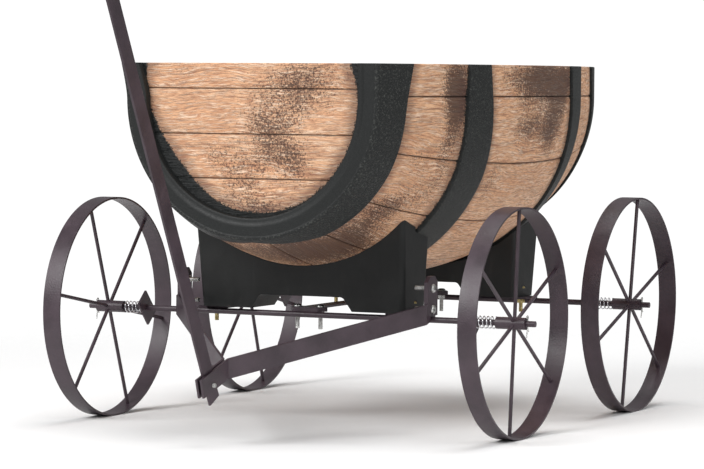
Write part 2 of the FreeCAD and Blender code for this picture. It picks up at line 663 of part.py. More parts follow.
def handle():
    """Flat bar that turns on the pivot bolt, with a cross tube welded on its end."""
    pivot_y, pivot_z = "-1 * ( wheelbase / 2 + pivot_ahead )", "pivot_height"
    lean = Rotation(Vector(1, 0, 0), size("handle_lean"))

    blank = block("handle_blank", "strip_thickness", "strip_width", "handle_tail + handle_length",
                  "-1 * strip_thickness / 2", "-1 * strip_width / 2", "-1 * handle_tail")
    hole = rod("handle_hole", "bolt_diameter / 2 + running_clearance", "strip_thickness",
               "-1 * strip_thickness / 2", turn=ALONG_X)
    tube_space = rod("handle_tube_space", "grip_diameter / 2", "grip_length", "-1 * grip_length / 2",
                     z="handle_length", turn=ALONG_X)
    bar = put(cut("handle_bar", blank, hole, tube_space), "0", pivot_y, pivot_z, lean)
    node(bar, "handle_bar")

    tube = rod("grip_outside", "grip_diameter / 2", "grip_length", "-1 * grip_length / 2",
               z="handle_length", turn=ALONG_X)
    inside = rod("grip_inside", "grip_diameter / 2 - grip_wall", "grip_length", "-1 * grip_length / 2",
                 z="handle_length", turn=ALONG_X)
    node(put(cut("handle_grip", tube, inside), "0", pivot_y, pivot_z, lean), "handle_grip")

    stack = "( strip_thickness * 3 / 2 + side_play )"
    node(bolt("handle_bolt", "pivot_bolt_length", "pivot_head_diameter", stack, pivot_y, pivot_z, ALONG_X),
         "handle_bolt")
    node(ring_piece("handle_nut", "nut", f"-1 * {stack}", pivot_y, pivot_z, ALONG_MINUS_X), "handle_nut")


# ---------------------------------------------------------------- the whole wagon

tub()
for end in ("front", "rear"):
    saddle(end)
    axle(end)
    for side in ("left", "right"):
        wheel(end, side)
        spring_seat(end, side)
        spring(end, side)
        cotter(end, side)
saddle_fixings()
reach()
for side in ("left", "right"):
    tongue(side)
tongue_fixings()
handle()
doc.recompute()

for thing in doc.Objects:
    bad = [state for state in thing.State if state in ("Invalid", "Error")]
    if bad:
        raise RuntimeError(f"{thing.Name}: {bad}")
for thing in nodes:
    shape = thing.Shape
    if shape.isNull() or not shape.isValid() or not shape.Solids:
        raise RuntimeError(f"{thing.Label}: no valid shape")

os.makedirs("parts", exist_ok=True)
for thing in nodes:
    thing.Shape.exportStep(f"parts/{thing.Label}.step")
    print(f"{thing.Label}: {len(thing.Shape.Solids)} solid(s), {thing.Shape.Volume:.0f} mm3")
print(len(nodes), "nodes")
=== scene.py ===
"""Looks of the half-barrel planter wagon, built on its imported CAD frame. Metres, +Z up, the handle at -Y."""

import json
import math

import bpy
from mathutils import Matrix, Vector


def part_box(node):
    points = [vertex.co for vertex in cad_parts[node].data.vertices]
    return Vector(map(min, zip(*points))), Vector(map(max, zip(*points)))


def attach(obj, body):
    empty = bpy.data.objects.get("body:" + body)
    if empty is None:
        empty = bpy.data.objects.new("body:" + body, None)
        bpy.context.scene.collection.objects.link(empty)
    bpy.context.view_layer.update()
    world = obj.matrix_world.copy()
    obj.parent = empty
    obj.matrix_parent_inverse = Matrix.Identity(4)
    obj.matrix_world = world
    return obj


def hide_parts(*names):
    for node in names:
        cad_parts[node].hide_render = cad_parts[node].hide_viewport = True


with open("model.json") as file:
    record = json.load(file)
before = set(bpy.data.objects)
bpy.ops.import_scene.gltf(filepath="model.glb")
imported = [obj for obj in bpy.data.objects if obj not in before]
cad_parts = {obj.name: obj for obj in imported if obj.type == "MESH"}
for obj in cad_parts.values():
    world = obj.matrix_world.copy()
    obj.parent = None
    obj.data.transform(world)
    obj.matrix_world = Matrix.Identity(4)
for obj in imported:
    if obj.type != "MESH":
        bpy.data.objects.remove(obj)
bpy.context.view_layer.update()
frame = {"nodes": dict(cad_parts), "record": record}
MM = 0.001


# ---------------------------------------------------------------- material helpers

class Shader:
    """A material's node tree, with short calls for the nodes used here."""

    def __init__(self, name):
        self.material = bpy.data.materials.new(name)
        self.material.use_nodes = True
        self.tree = self.material.node_tree
        self.surface = self.tree.nodes["Principled BSDF"]

    def node(self, kind, **inputs):
        made = self.tree.nodes.new(kind)
        for key, value in inputs.items():
            socket = made.inputs[key.replace("_", " ")]
            self.feed(socket, value)
        return made

    def feed(self, socket, value):
        """Sets a socket to a constant, or links it to another socket."""
        if isinstance(value, bpy.types.NodeSocket):
            self.tree.links.new(value, socket)
        else:
            socket.default_value = value

    def position(self):
        return self.node("ShaderNodeTexCoord").outputs["Object"]

    def attribute(self, name, output="Fac"):
        made = self.node("ShaderNodeAttribute")
        made.attribute_name = name
        return made.outputs[output]

    def math(self, operation, a, b=0.0, c=0.0):
        made = self.tree.nodes.new("ShaderNodeMath")
        made.operation = operation
        for socket, value in zip(made.inputs, (a, b, c)):
            self.feed(socket, value)
        return made.outputs[0]

    def stretch(self, vector, x, y, z):
        made = self.tree.nodes.new("ShaderNodeMapping")
        self.feed(made.inputs["Vector"], vector)
        made.inputs["Scale"].default_value = (x, y, z)
        return made.outputs[0]

    def noise(self, vector, scale, detail=3.0, roughness=0.55, distortion=0.0):
        made = self.node("ShaderNodeTexNoise", Vector=vector, Scale=scale, Detail=detail,
                         Roughness=roughness, Distortion=distortion)
        return made.outputs["Fac"]

    def ramp(self, value, low, high, to_low=0.0, to_high=1.0):
        """Smooth step from to_low at low to to_high at high."""
        made = self.tree.nodes.new("ShaderNodeMapRange")
        made.interpolation_type = "SMOOTHSTEP"
        for socket, number in zip(made.inputs, (value, low, high, to_low, to_high)):
            self.feed(socket, number)
        return made.outputs[0]

    def mix(self, fac, a, b):
        made = self.tree.nodes.new("ShaderNodeMix")
        made.data_type = "RGBA"
        self.feed(made.inputs[0], fac)
        self.feed(made.inputs[6], a)
        self.feed(made.inputs[7], b)
        return made.outputs[2]

    def blend(self, fac, a, b):
        made = self.tree.nodes.new("ShaderNodeMix")
        self.feed(made.inputs[0], fac)
        self.feed(made.inputs[2], a)
        self.feed(made.inputs[3], b)
        return made.outputs[0]

    def bump(self, height, distance, strength=1.0):
        return self.node("ShaderNodeBump", Height=height, Distance=distance, Strength=strength).outputs[0]

    def finish(self, **inputs):
        for key, value in inputs.items():
            self.feed(self.surface.inputs[key.replace("_", " ")], value)
        return self.material


def rgb(red, green, blue):
    """A linear colour from 0-255 screen values."""
    channels = []
    for value in (red, green, blue):
        share = value / 255
        channels.append(share / 12.92 if share <= 0.04045 else ((share + 0.055) / 1.055) ** 2.4)
    return (*channels, 1.0)


# ---------------------------------------------------------------- materials

def tub_material():
    """Moulded plastic that imitates oak staves, dry-brushed and stained, with black pebbled hoops, painted
    shade on the wood beside them and painted glints on their pebbles.
    """
    m = Shader("moulded_wood_look")
    place = m.position()
    grain = m.attribute("grain", "Vector")
    paint = m.attribute("paint")
    stain = m.attribute("stain")
    pebbled = m.attribute("pebble")
    crease = m.attribute("crease")

    sway = m.noise(m.stretch(grain, 11, 26, 1), 1.0, 2.0)
    shift = m.math("MULTIPLY", m.math("SUBTRACT", sway, 0.5), 0.02)
    offset = m.node("ShaderNodeCombineXYZ", Y=shift).outputs[0]
    added = m.tree.nodes.new("ShaderNodeVectorMath")
    added.operation = "ADD"
    m.feed(added.inputs[0], grain)
    m.feed(added.inputs[1], offset)
    wavy = added.outputs[0]

    ridge_noise = m.noise(m.stretch(wavy, 14, 330, 1), 1.0, 2.0, 0.5)
    centred = m.math("ABSOLUTE", m.math("SUBTRACT", ridge_noise, 0.5))
    ridge = m.ramp(m.math("SUBTRACT", 1.0, m.math("MULTIPLY", centred, 11.0)), 0.0, 1.0)
    broken = m.ramp(m.noise(m.stretch(wavy, 90, 500, 1), 1.0, 2.0), 0.36, 0.6)
    ridge = m.math("MULTIPLY", ridge, broken)
    fine = m.noise(m.stretch(wavy, 70, 720, 1), 1.0, 3.0, 0.65)
    broad = m.noise(m.stretch(wavy, 6, 24, 1), 1.0, 2.0)
    speckle = m.noise(place, 900.0, 2.0, 0.6)
    grit = m.noise(place, 420.0, 2.0, 0.6)
    patch = m.noise(place, 16.0, 3.0, 0.6)

    tan = m.mix(m.ramp(broad, 0.3, 0.7), rgb(227, 175, 134), rgb(242, 196, 156))
    tan = m.mix(m.ramp(fine, 0.34, 0.66), rgb(180, 128, 97), tan)
    groove = m.ramp(m.noise(m.stretch(wavy, 16, 420, 1), 1.0, 2.0, 0.5), 0.56, 0.66)
    tan = m.mix(m.math("MULTIPLY", groove, 0.55), tan, rgb(120, 80, 62))
    tan = m.mix(m.math("MULTIPLY", ridge, 0.7), tan, rgb(252, 224, 198))
    depth = m.math("ADD", stain, m.math("MULTIPLY", m.math("SUBTRACT", patch, 0.5), 0.55))
    dotted = m.math("ADD", m.math("MULTIPLY", grit, 0.55), m.math("MULTIPLY", speckle, 0.45))
    speckled = m.math("ADD", depth, m.math("MULTIPLY", dotted, 2.3))
    worn = m.math("SUBTRACT", speckled, m.math("MULTIPLY", ridge, 0.12))
    stained = m.ramp(worn, 1.42, 1.84)
    # Painted shade: the wood is darkened in a band of uneven width beside the raised hoops and along the black
    # edge on the heads.
    near_hoop = m.math("ADD", paint, m.math("MULTIPLY", patch, 16.0))
    painted_shade_by_hoops = m.math("MULTIPLY", m.ramp(near_hoop, -14.0, 4.0), 0.5)
    wood = m.mix(m.math("MULTIPLY", stained, 0.88), tan, rgb(64, 42, 36))
    wood = m.mix(painted_shade_by_hoops, wood, rgb(84, 60, 56))
    wood = m.mix(m.math("MULTIPLY", crease, 0.9), wood, rgb(48, 32, 28))

    ragged = m.math("MULTIPLY", m.math("SUBTRACT", dotted, 0.5), 22.0)
    drift = m.math("MULTIPLY", m.math("SUBTRACT", patch, 0.5), 5.0)
    edge = m.math("ADD", paint, m.math("ADD", ragged, drift))
    covered = m.math("MAXIMUM", m.ramp(edge, -2.6, 0.0), m.ramp(paint, -1.0, 0.4))
    black = m.mix(m.ramp(speckle, 0.45, 0.8), rgb(25, 27, 27), rgb(44, 46, 45))
    # Painted glints: light grey specks on the pebbled hoops stand in for light catching the pebbles.
    black = m.mix(m.math("MULTIPLY", pebbled, m.ramp(grit, 0.5, 0.72)), black, rgb(72, 74, 71))
    colour = m.mix(covered, wood, black)

    wood_height = m.math("ADD", m.math("MULTIPLY", ridge, 0.7), m.math("MULTIPLY", fine, 0.5))
    pebbles = m.noise(place, 430.0, 2.0, 0.5)
    fade = m.math("MULTIPLY", covered, m.math("ADD", 0.12, m.math("MULTIPLY", pebbled, 0.88)))
    planks = m.math("SUBTRACT", 1.0, m.ramp(paint, 14.0, 34.0))
    relief = m.math("MULTIPLY", wood_height, m.math("MULTIPLY", planks, m.math("SUBTRACT", 1.0, pebbled)))
    height = m.math("ADD", relief, m.math("MULTIPLY", pebbles, m.math("MULTIPLY", fade, 1.3)))
    rough = m.blend(covered, m.ramp(fine, 0.2, 0.8, 0.5, 0.68), m.ramp(grit, 0.2, 0.8, 0.42, 0.6))
    shine = m.blend(covered, 0.35, 0.3)
    return m.finish(Base_Color=colour, Roughness=rough,
                    Specular_IOR_Level=shine, Normal=m.bump(height, 0.0011))


def plastic_material():
    """Black moulded plastic with a fine texture and a few dull scuffs."""
    m = Shader("black_moulded_plastic")
    place = m.position()
    grain = m.noise(place, 900.0, 2.0, 0.5)
    cloud = m.noise(place, 14.0, 4.0, 0.6)
    scuff = m.ramp(m.noise(m.stretch(place, 40, 40, 9), 1.0, 4.0, 0.7), 0.58, 0.72)
    colour = m.mix(m.ramp(cloud, 0.35, 0.7), rgb(20, 21, 21), rgb(31, 32, 32))
    colour = m.mix(m.math("MULTIPLY", scuff, 0.2), colour, rgb(54, 55, 54))
    rough = m.ramp(cloud, 0.25, 0.75, 0.42, 0.56)
    return m.finish(Base_Color=colour, Roughness=rough, Specular_IOR_Level=0.3,
                    Normal=m.bump(grain, 0.0003, 0.6))


def powder_material():
    """Satin purple-brown powder coat with orange peel, and fine specks of painted highlight."""
    m = Shader("brown_powder_coat")
    place = m.position()
    peel = m.noise(place, 520.0, 2.0, 0.5)
    cloud = m.noise(place, 22.0, 4.0, 0.6)
    # Painted highlights: fine specks mixed toward the coat's lit colour.
    painted_glint_specks = m.ramp(m.noise(place, 1500.0, 1.0), 0.66, 0.78)
    colour = m.mix(m.ramp(cloud, 0.3, 0.7), rgb(52, 41, 48), rgb(68, 55, 63))
    colour = m.mix(m.math("MULTIPLY", painted_glint_specks, 0.35), colour, rgb(120, 104, 114))
    rough = m.ramp(cloud, 0.25, 0.75, 0.34, 0.46)
    return m.finish(Base_Color=colour, Roughness=rough, Normal=m.bump(peel, 0.00035, 0.7))


def plated_material(name, dull, bright, rough_low, rough_high):
    """Plated steel: fine drawn lines, and duller blotches."""
    m = Shader(name)
    place = m.position()
    cloud = m.noise(place, 160.0, 3.0, 0.6)
    lines = m.noise(m.stretch(place, 300, 2600, 2600), 1.0, 2.0)
    colour = m.mix(m.ramp(cloud, 0.3, 0.7), dull, bright)
    rough = m.ramp(cloud, 0.3, 0.75, rough_low, rough_high)
    return m.finish(Base_Color=colour, Metallic=1.0, Roughness=rough, Normal=m.bump(lines, 0.00008, 0.5))


def floor_material():
    """Pale floor that fades out away from the wagon."""
    m = Shader("pale_floor")
    cloud = m.noise(m.position(), 3.0, 4.0)
    colour = m.mix(cloud, (0.9, 0.9, 0.9, 1.0), (0.94, 0.94, 0.94, 1.0))
    split = m.node("ShaderNodeSeparateXYZ", Vector=m.position())
    across, along = split.outputs["X"], split.outputs["Y"]
    far = m.math("ADD", m.math("MULTIPLY", across, across), m.math("MULTIPLY", along, along))
    shown = m.ramp(m.math("SQRT", far), 0.75, 2.0, 1.0, 0.0)
    return m.finish(Base_Color=colour, Roughness=0.9, Specular_IOR_Level=0.1, Alpha=shown)


MATERIALS = {
    "tub_wood_look": tub_material(),
    "black_plastic": plastic_material(),
    "powder_coat": powder_material(),
    "spring_chrome": plated_material("spring_chrome", rgb(190, 190, 194), rgb(232, 232, 236), 0.14, 0.26),
    "zinc_plate": plated_material("zinc_plate", rgb(168, 168, 166), rgb(216, 216, 214), 0.26, 0.42),
    "yellow_zinc": plated_material("yellow_zinc", rgb(176, 158, 104), rgb(226, 210, 160), 0.28, 0.44),
}


# ---------------------------------------------------------------- mesh helpers

class Mesh:
    """Gathers points and faces, and makes one object of them."""

    def __init__(self, name):
        self.name = name
        self.points = []
        self.faces = []
        self.layers = {}

    def add(self, point, **values):
        """One vertex, with the values of its attributes."""
        self.points.append(point)
        for key, value in values.items():
            self.layers.setdefault(key, {})[len(self.points) - 1] = value
        return len(self.points) - 1

    def grid(self, rows, closed=False):
        """Quads between rows of vertex numbers."""
        for near, far in zip(rows, rows[1:]):
            count = len(near)
            for k in range(count if closed else count - 1):
                after = (k + 1) % count
                self.faces.append((near[k], near[after], far[after], far[k]))

    def make(self, body, slot, replaced=(), smooth=35):
        mesh = bpy.data.meshes.new(self.name)
        mesh.from_pydata(self.points, [], self.faces)
        for key, values in self.layers.items():
            vector = key == "grain"
            layer = mesh.attributes.new(key, "FLOAT_VECTOR" if vector else "FLOAT", "POINT")
            blank = (0.0, 0.0, 0.0) if vector else 0.0
            flat = []
            for k in range(len(self.points)):
                value = values.get(k, blank)
                flat.extend(value if vector else (value,))
            layer.data.foreach_set("vector" if vector else "value", flat)
        mesh.materials.append(MATERIALS[slot])
        mesh.shade_smooth()
        mesh.set_sharp_from_angle(angle=math.radians(smooth))
        piece = bpy.data.objects.new(self.name, mesh)
        bpy.context.scene.collection.objects.link(piece)
        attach(piece, body)
        if replaced:
            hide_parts(*replaced)
        return piece


def smoothstep(low, high, value):
    share = min(max((value - low) / (high - low), 0.0), 1.0)
    return share * share * (3 - 2 * share)


def between(table, value):
    """Reads a table of (position, value) pairs with straight lines between them."""
    if value <= table[0][0]:
        return table[0][1]
    for (a, at_a), (b, at_b) in zip(table, table[1:]):
        if value <= b:
            return at_a + (at_b - at_a) * (value - a) / (b - a)
    return table[-1][1]


# ---------------------------------------------------------------- half barrel, in millimetres until placed

TUB_LOW, TUB_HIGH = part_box("barrel_tub")
HALF_LENGTH = TUB_HIGH.y / MM
BELLY = TUB_HIGH.x / MM
TOP = TUB_HIGH.z / MM
AXIS = TUB_LOW.z / MM + BELLY
RISE = TOP - AXIS
END_RADIUS = 180.5
WALL = 4.5
HOOP = 4.5
RECESS = 12.0
HEAD_RADIUS = 156.0
SWEEP = (HALF_LENGTH ** 2 + (BELLY - END_RADIUS) ** 2) / (2 * (BELLY - END_RADIUS))
MEAN_RADIUS = 225.0
WALL_LEAN = 9.0
HEAD_LEAN = 12.0
LEAN_CURVE = 1.3
RING_START = 9.0
STAVE_ANGLE = 21.6
FIRST_SEAM = 1.0
EDGE_ROUND = 3.0
RIM_ROUND = 1.2

# Attribute values of the smooth black surfaces; paint is the distance (mm) inside the black.
BLACK_RING = {"paint": 40.0, "pebble": 0.0, "stain": 0.0, "crease": 0.0}
BLACK_INSIDE = {"paint": 60.0, "pebble": 0.0, "stain": 0.0, "crease": 0.0}

# Hoop edges along the barrel (mm) against degrees below the axis.
FRONT_BAND = [(-12, -303), (0, -314), (5, -316), (28, -316), (46, -320), (63, -326), (79, -345), (90, -358)]
HOOP_2_FRONT = [(-12, -190), (5, -195), (25, -188), (60, -185), (90, -186)]
HOOP_2_REAR = [(-12, -140), (5, -133), (25, -121), (60, -116), (90, -116)]
HOOP_3_FRONT = [(-12, 138), (5, 142), (25, 152), (60, 158), (90, 158)]
HOOP_3_REAR = [(-12, 194), (25, 193), (45, 191), (90, 191)]
REAR_BAND = [(angle, -edge) for angle, edge in FRONT_BAND]

# Dark stains: (x, y, z, reach along x, y, z, strength), metres.
STAINS = [
    (0.02, -0.356, 0.40, 0.045, 0.05, 0.05, 0.55), (-0.02, -0.356, 0.335, 0.04, 0.05, 0.04, 0.45),
    (0.075, -0.356, 0.47, 0.07, 0.05, 0.03, 0.55), (0.06, -0.356, 0.36, 0.03, 0.05, 0.035, 0.5),
    (-0.06, -0.356, 0.37, 0.03, 0.05, 0.02, 0.35), (0.085, -0.356, 0.435, 0.05, 0.05, 0.022, 0.25),
    (-0.10, -0.356, 0.478, 0.04, 0.05, 0.015, 0.25), (0.02, -0.356, 0.30, 0.04, 0.05, 0.015, 0.4),
    (0.22, -0.215, 0.465, 0.08, 0.035, 0.045, 0.8), (0.24, -0.215, 0.40, 0.08, 0.026, 0.06, 0.55),
    (0.25, 0.02, 0.472, 0.08, 0.12, 0.032, 0.95), (0.25, -0.01, 0.405, 0.08, 0.07, 0.03, 0.62),
    (0.25, 0.07, 0.41, 0.08, 0.04, 0.05, 0.62), (0.25, 0.115, 0.46, 0.08, 0.025, 0.05, 0.35),
    (0.19, -0.27, 0.37, 0.08, 0.04, 0.03, 0.3), (0.16, -0.22, 0.33, 0.06, 0.05, 0.03, 0.45),
    (0.23, -0.09, 0.33, 0.06, 0.03, 0.05, 0.4), (0.15, -0.29, 0.30, 0.05, 0.04, 0.03, 0.6),
    (0.06, -0.28, 0.25, 0.11, 0.08, 0.04, 0.95), (-0.08, -0.29, 0.27, 0.09, 0.06, 0.03, 0.6),
    (-0.22, -0.24, 0.44, 0.08, 0.05, 0.05, 0.5), (-0.25, 0.03, 0.46, 0.08, 0.09, 0.03, 0.6),
    (-0.24, 0.08, 0.38, 0.08, 0.04, 0.05, 0.45), (-0.2, -0.06, 0.31, 0.08, 0.05, 0.04, 0.5),
    (0.0, 0.0, 0.2, 0.15, 0.2, 0.04, 0.6), (-0.2, 0.25, 0.40, 0.08, 0.04, 0.04, 0.45),
    (0.03, 0.356, 0.41, 0.05, 0.05, 0.05, 0.55), (-0.08, 0.356, 0.46, 0.06, 0.05, 0.025, 0.5),
    (-0.03, 0.356, 0.33, 0.05, 0.05, 0.04, 0.5), (0.1, 0.356, 0.37, 0.03, 0.05, 0.04, 0.4),
]


def stain_at(point):
    """How dark the stain is here, from 0 to about 1."""
    total = 0.0
    for x, y, z, along_x, along_y, along_z, strength in STAINS:
        away = (((point[0] - x) / along_x) ** 2 + ((point[1] - y) / along_y) ** 2
                + ((point[2] - z) / along_z) ** 2)
        if away < 9:
            total += strength * math.exp(-away)
    return min(total, 1.0)


def stave_radius(y):
    """Half width of the staves at a station along the barrel."""
    return BELLY - SWEEP + math.sqrt(SWEEP ** 2 - y ** 2)


def refined(low, high, marks, offsets, step):
    """Stations from low to high: closely spaced round each mark, evenly spaced elsewhere."""
    stations = {low, high}
    for mark in marks:
        for offset in offsets:
            for place in (mark - offset, mark + offset):
                if low < place < high:
                    stations.add(place)
    ordered = sorted(stations)
    result = []
    for a, b in zip(ordered, ordered[1:]):
        parts = max(1, round((b - a) / step))
        result.extend(a + (b - a) * k / parts for k in range(parts))
    return result + [high]


ARC = math.pi * MEAN_RADIUS
SEAMS = [RISE + ARC - math.radians(STAVE_ANGLE * k - FIRST_SEAM) * MEAN_RADIUS for k in range(9)]
SEAM_OFFSETS = (0, 0.4, 0.8, 1.3, 2.0, 3.2, 6.0)
HOOP_EDGE = (0, 0.5, 1.0, 1.8, 4.0)
WOOD_EDGE = (0, 1.5, 5.0)
END_EDGE = (0, 0.4, 1.0, 1.9, 3.0, 6.0, 12.0, 16.5)


def around(place):
    """(side, degrees below the axis, height above the axis, cosine, sine) of a place round the section."""
    if place <= RISE:
        height = RISE - place
        return -1, -math.degrees(height / MEAN_RADIUS), height, -1.0, 0.0
    if place >= RISE + ARC:
        height = place - RISE - ARC
        return 1, -math.degrees(height / MEAN_RADIUS), height, 1.0, 0.0
    angle = math.pi + (place - RISE) / MEAN_RADIUS
    side = -1 if angle < 1.5 * math.pi else 1
    below = 90 - abs(math.degrees(angle) - 270)
    return side, below, 0.0, math.cos(angle), math.sin(angle)


def flare(side, height, y):
    """The left wall leans out a little above the axis, towards the front."""
    if side > 0:
        return 0.0
    return WALL_LEAN * (height / RISE) ** LEAN_CURVE * (1 - smoothstep(-340, -230, y))


def seam_depth(distance):
    """Depth of the groove between two staves, with their softly rounded edges."""
    return 2.0 * math.exp(-(distance / 0.85) ** 2) + 0.8 * math.exp(-(distance / 4.0) ** 2)


def hoop_profile(distance):
    """How far a hoop stands out at a distance inside its edge."""
    if distance <= 0:
        return 0.0
    return HOOP * (1 - math.exp(-(distance / 0.8) ** 1.5)) if distance < 4 else HOOP


# Each stretch along the barrel: its two edges, whether it is a hoop, and the stations near each edge.
FRONT_END = [(-12, -HALF_LENGTH), (90, -HALF_LENGTH)]
REAR_END = [(-12, HALF_LENGTH), (90, HALF_LENGTH)]
STRETCHES = [
    (FRONT_END, FRONT_BAND, True, END_EDGE, HOOP_EDGE),
    (FRONT_BAND, HOOP_2_FRONT, False, WOOD_EDGE, WOOD_EDGE),
    (HOOP_2_FRONT, HOOP_2_REAR, True, HOOP_EDGE, HOOP_EDGE),
    (HOOP_2_REAR, HOOP_3_FRONT, False, WOOD_EDGE, WOOD_EDGE),
    (HOOP_3_FRONT, HOOP_3_REAR, True, HOOP_EDGE, HOOP_EDGE),
    (HOOP_3_REAR, REAR_BAND, False, WOOD_EDGE, WOOD_EDGE),
    (REAR_BAND, REAR_END, True, HOOP_EDGE, END_EDGE),
]
STATION_STEP = 7.0


def lengthwise(below):
    """Stations along the barrel at one place round it: (y, distance inside a hoop, negative on wood)."""
    stations = []
    for start_table, end_table, is_hoop, near, far in STRETCHES:
        start, end = between(start_table, below), between(end_table, below)
        length = end - start
        widest = between(end_table, 0) - between(start_table, 0)
        scale = min(1.0, 0.9 * length / (near[-1] + far[-1]))
        inner_start, inner_end = start + near[-1] * scale, end - far[-1] * scale
        parts = max(2, round((widest - near[-1] - far[-1]) / STATION_STEP))
        row = [start + d * scale for d in near]
        row += [inner_start + (inner_end - inner_start) * k / parts for k in range(1, parts)]
        row += [end - d * scale for d in reversed(far)]
        edges = []
        if start_table is not FRONT_END:
            edges.append(start)
        if end_table is not REAR_END:
            edges.append(end)
        sign = 1 if is_hoop else -1
        entries = [(y, sign * min(abs(y - e) for e in edges)) for y in row]
        stations.extend(entries if not stations else entries[1:])
    return stations


def end_round(y):
    """How far the barrel's outer edge is rounded back near either end."""
    depth = HALF_LENGTH - abs(y)
    if depth >= EDGE_ROUND:
        return 0.0
    return EDGE_ROUND - math.sqrt(EDGE_ROUND ** 2 - (EDGE_ROUND - depth) ** 2)


def to_world(x, y, z):
    return (x * MM, y * MM, (AXIS + z) * MM)


def section_places():
    """Places round the section, from the left rim to the right one."""
    total = 2 * RISE + ARC
    marks = refined(0.0, total, SEAMS, SEAM_OFFSETS, 6.0)
    rim = (0.35, RIM_ROUND)
    between_rims = [place for place in marks if 2.5 < place < total - 2.5]
    return [0.0, *rim, *between_rims, *[total - r for r in reversed(rim)], total]


PLACES = section_places()


def outer_wall(mesh):
    """Staves and hoops. Returns one row of vertices for each place round the section."""
    rows = []
    total = PLACES[-1]
    for place in PLACES:
        side, below, height, across, up = around(place)
        nearest = min(SEAMS, key=lambda s: abs(s - place))
        plank = sum(1 for s in SEAMS if s < place)
        lip = min(place, total - place)
        tuck = RIM_ROUND - math.sqrt(RIM_ROUND ** 2 - (RIM_ROUND - lip) ** 2) if lip < RIM_ROUND else 0.0
        row = []
        for y, inside in lengthwise(below):
            base = stave_radius(y)
            hoop = hoop_profile(inside)
            groove = seam_depth(place - nearest) * (1 - smoothstep(0.0, 2.0, inside))
            reach = base + hoop - groove - end_round(y) - tuck + flare(side, height, y)
            point = to_world(across * reach, y, up * reach + height)
            on_hoop = smoothstep(0.0, 2.0, inside)
            row.append(mesh.add(
                point, paint=inside, pebble=on_hoop,
                stain=stain_at(point), crease=math.exp(-((place - nearest) / 1.0) ** 2) * (1 - on_hoop),
                grain=(y * MM, place * MM, plank * 3.7)))
        rows.append(row)
    mesh.grid(rows)
    return rows


def end_section(radius, place, y):
    """A point of the end wall's outline at this radius, straight up above the axis."""
    side, _, height, across, up = around(place)
    lean = HEAD_LEAN * (height / RISE) ** LEAN_CURVE if side < 0 and y < 0 else 0.0
    return to_world(across * (radius + lean), y, up * radius + height)


def end_ring(mesh, outer, front):
    """Smooth ring round a recessed head: its face, rounded inner edge and recess wall."""
    sign = -1 if front else 1
    face = sign * HALF_LENGTH
    outline = [row[0] if front else row[-1] for row in outer]
    # Radius beyond the head's, and depth behind the end face.
    steps = [(RING_START, 0.0), (8.2, 0.5), (4.0, 0.9), (1.6, 0.9), (0.5, 1.3), (0.0, 2.4),
             (-0.3, 11.0), (-0.6, RECESS + 0.5)]
    rings = [outline]
    for share in (0.12, 0.45, 0.8):
        ring = []
        for number, place in zip(outline, PLACES):
            rim_point = Vector(mesh.points[number])
            inner = Vector(end_section(HEAD_RADIUS + RING_START, place, face))
            point = rim_point.lerp(inner, share)
            ring.append(mesh.add(tuple(point), **BLACK_RING))
        rings.append(ring)
    for out, depth in steps:
        ring = []
        for place in PLACES:
            point = end_section(HEAD_RADIUS + out, place, face - sign * depth)
            ring.append(mesh.add(point, **BLACK_RING))
        rings.append(ring)
    mesh.grid(rings)


# Heights (mm) of the seams between the planks of a head.
HEAD_SEAMS = [457.6, 398.0, 339.5, 281.0]
# Edge of the black overspray on a head: radius (mm) against degrees round from +X.
SPRAY_EDGE = [(-180, 160), (-167, 150), (-154, 142), (-140, 138), (-125, 141), (-110, 147), (-90, 150),
              (-60, 153), (0, 152), (17, 149), (40, 160), (150, 175), (180, 160)]


def head(mesh, front):
    """Planked end of the barrel, with grooves between the planks."""
    sign = -1 if front else 1
    y_face = sign * (HALF_LENGTH - RECESS)
    seams = [z - AXIS for z in HEAD_SEAMS]
    levels = refined(-HEAD_RADIUS - 1.0, RISE - 1.0, seams, (0, 0.35, 0.7, 1.2, 1.8, 3.0, 5.0), 6.0)
    columns = 64
    rows = []
    for z in [*levels, RISE - 0.3, RISE]:
        lean = HEAD_LEAN * (max(z, 0.0) / RISE) ** LEAN_CURVE if front else 0.0
        half = HEAD_RADIUS + 1.5 if z >= 0 else math.sqrt(max((HEAD_RADIUS + 1.5) ** 2 - z * z, 0.0))
        gap = min(abs(z - s) for s in seams)
        nearest = min(seams, key=lambda s: abs(s - z))
        plank = sum(1 for s in seams if s < z)
        lip = max(0.0, z - (RISE - 1.0))
        tuck = 1.0 - math.sqrt(max(1.0 - lip * lip, 0.0))
        depth = (1.5 * math.exp(-((z - nearest) / 0.75) ** 2)
                 + 0.5 * math.exp(-((z - nearest) / 3.0) ** 2) + tuck)
        row = []
        for k in range(columns + 1):
            x = -(half + lean) + (2 * half + lean) * k / columns
            point = to_world(x, y_face - sign * depth, z)
            angle = math.degrees(math.atan2(z, x * -sign))
            edge = between(SPRAY_EDGE, angle)
            row.append(mesh.add(
                point, paint=math.hypot(x, z) - edge, pebble=0.0,
                stain=stain_at(point), crease=math.exp(-(gap / 0.85) ** 2),
                grain=(x * MM, z * MM, 40 + plank * 5.3 + sign)))
        rows.append(row)
    mesh.grid(rows)


def inner_wall(mesh):
    """Smooth black inside of the tub, with its two end walls."""
    end = HALF_LENGTH - RECESS - WALL
    stations = refined(-end, end, [], (), 18.0)
    rows = []
    for place in PLACES:
        side, _, height, across, up = around(place)
        lip = min(place, PLACES[-1] - place)
        tuck = RIM_ROUND - math.sqrt(RIM_ROUND ** 2 - (RIM_ROUND - lip) ** 2) if lip < RIM_ROUND else 0.0
        row = []
        for y in stations:
            reach = stave_radius(y) - WALL + tuck + flare(side, height, y)
            point = to_world(across * reach, y, up * reach + height)
            row.append(mesh.add(point, **BLACK_INSIDE))
        rows.append(row)
    mesh.grid(rows)
    for column in (0, -1):
        outline = [row[column] for row in rows]
        middle = []
        for number in outline:
            _, y, z = mesh.points[number]
            middle.append(mesh.add((0.0, y, z), **BLACK_INSIDE))
        mesh.grid([outline, middle])


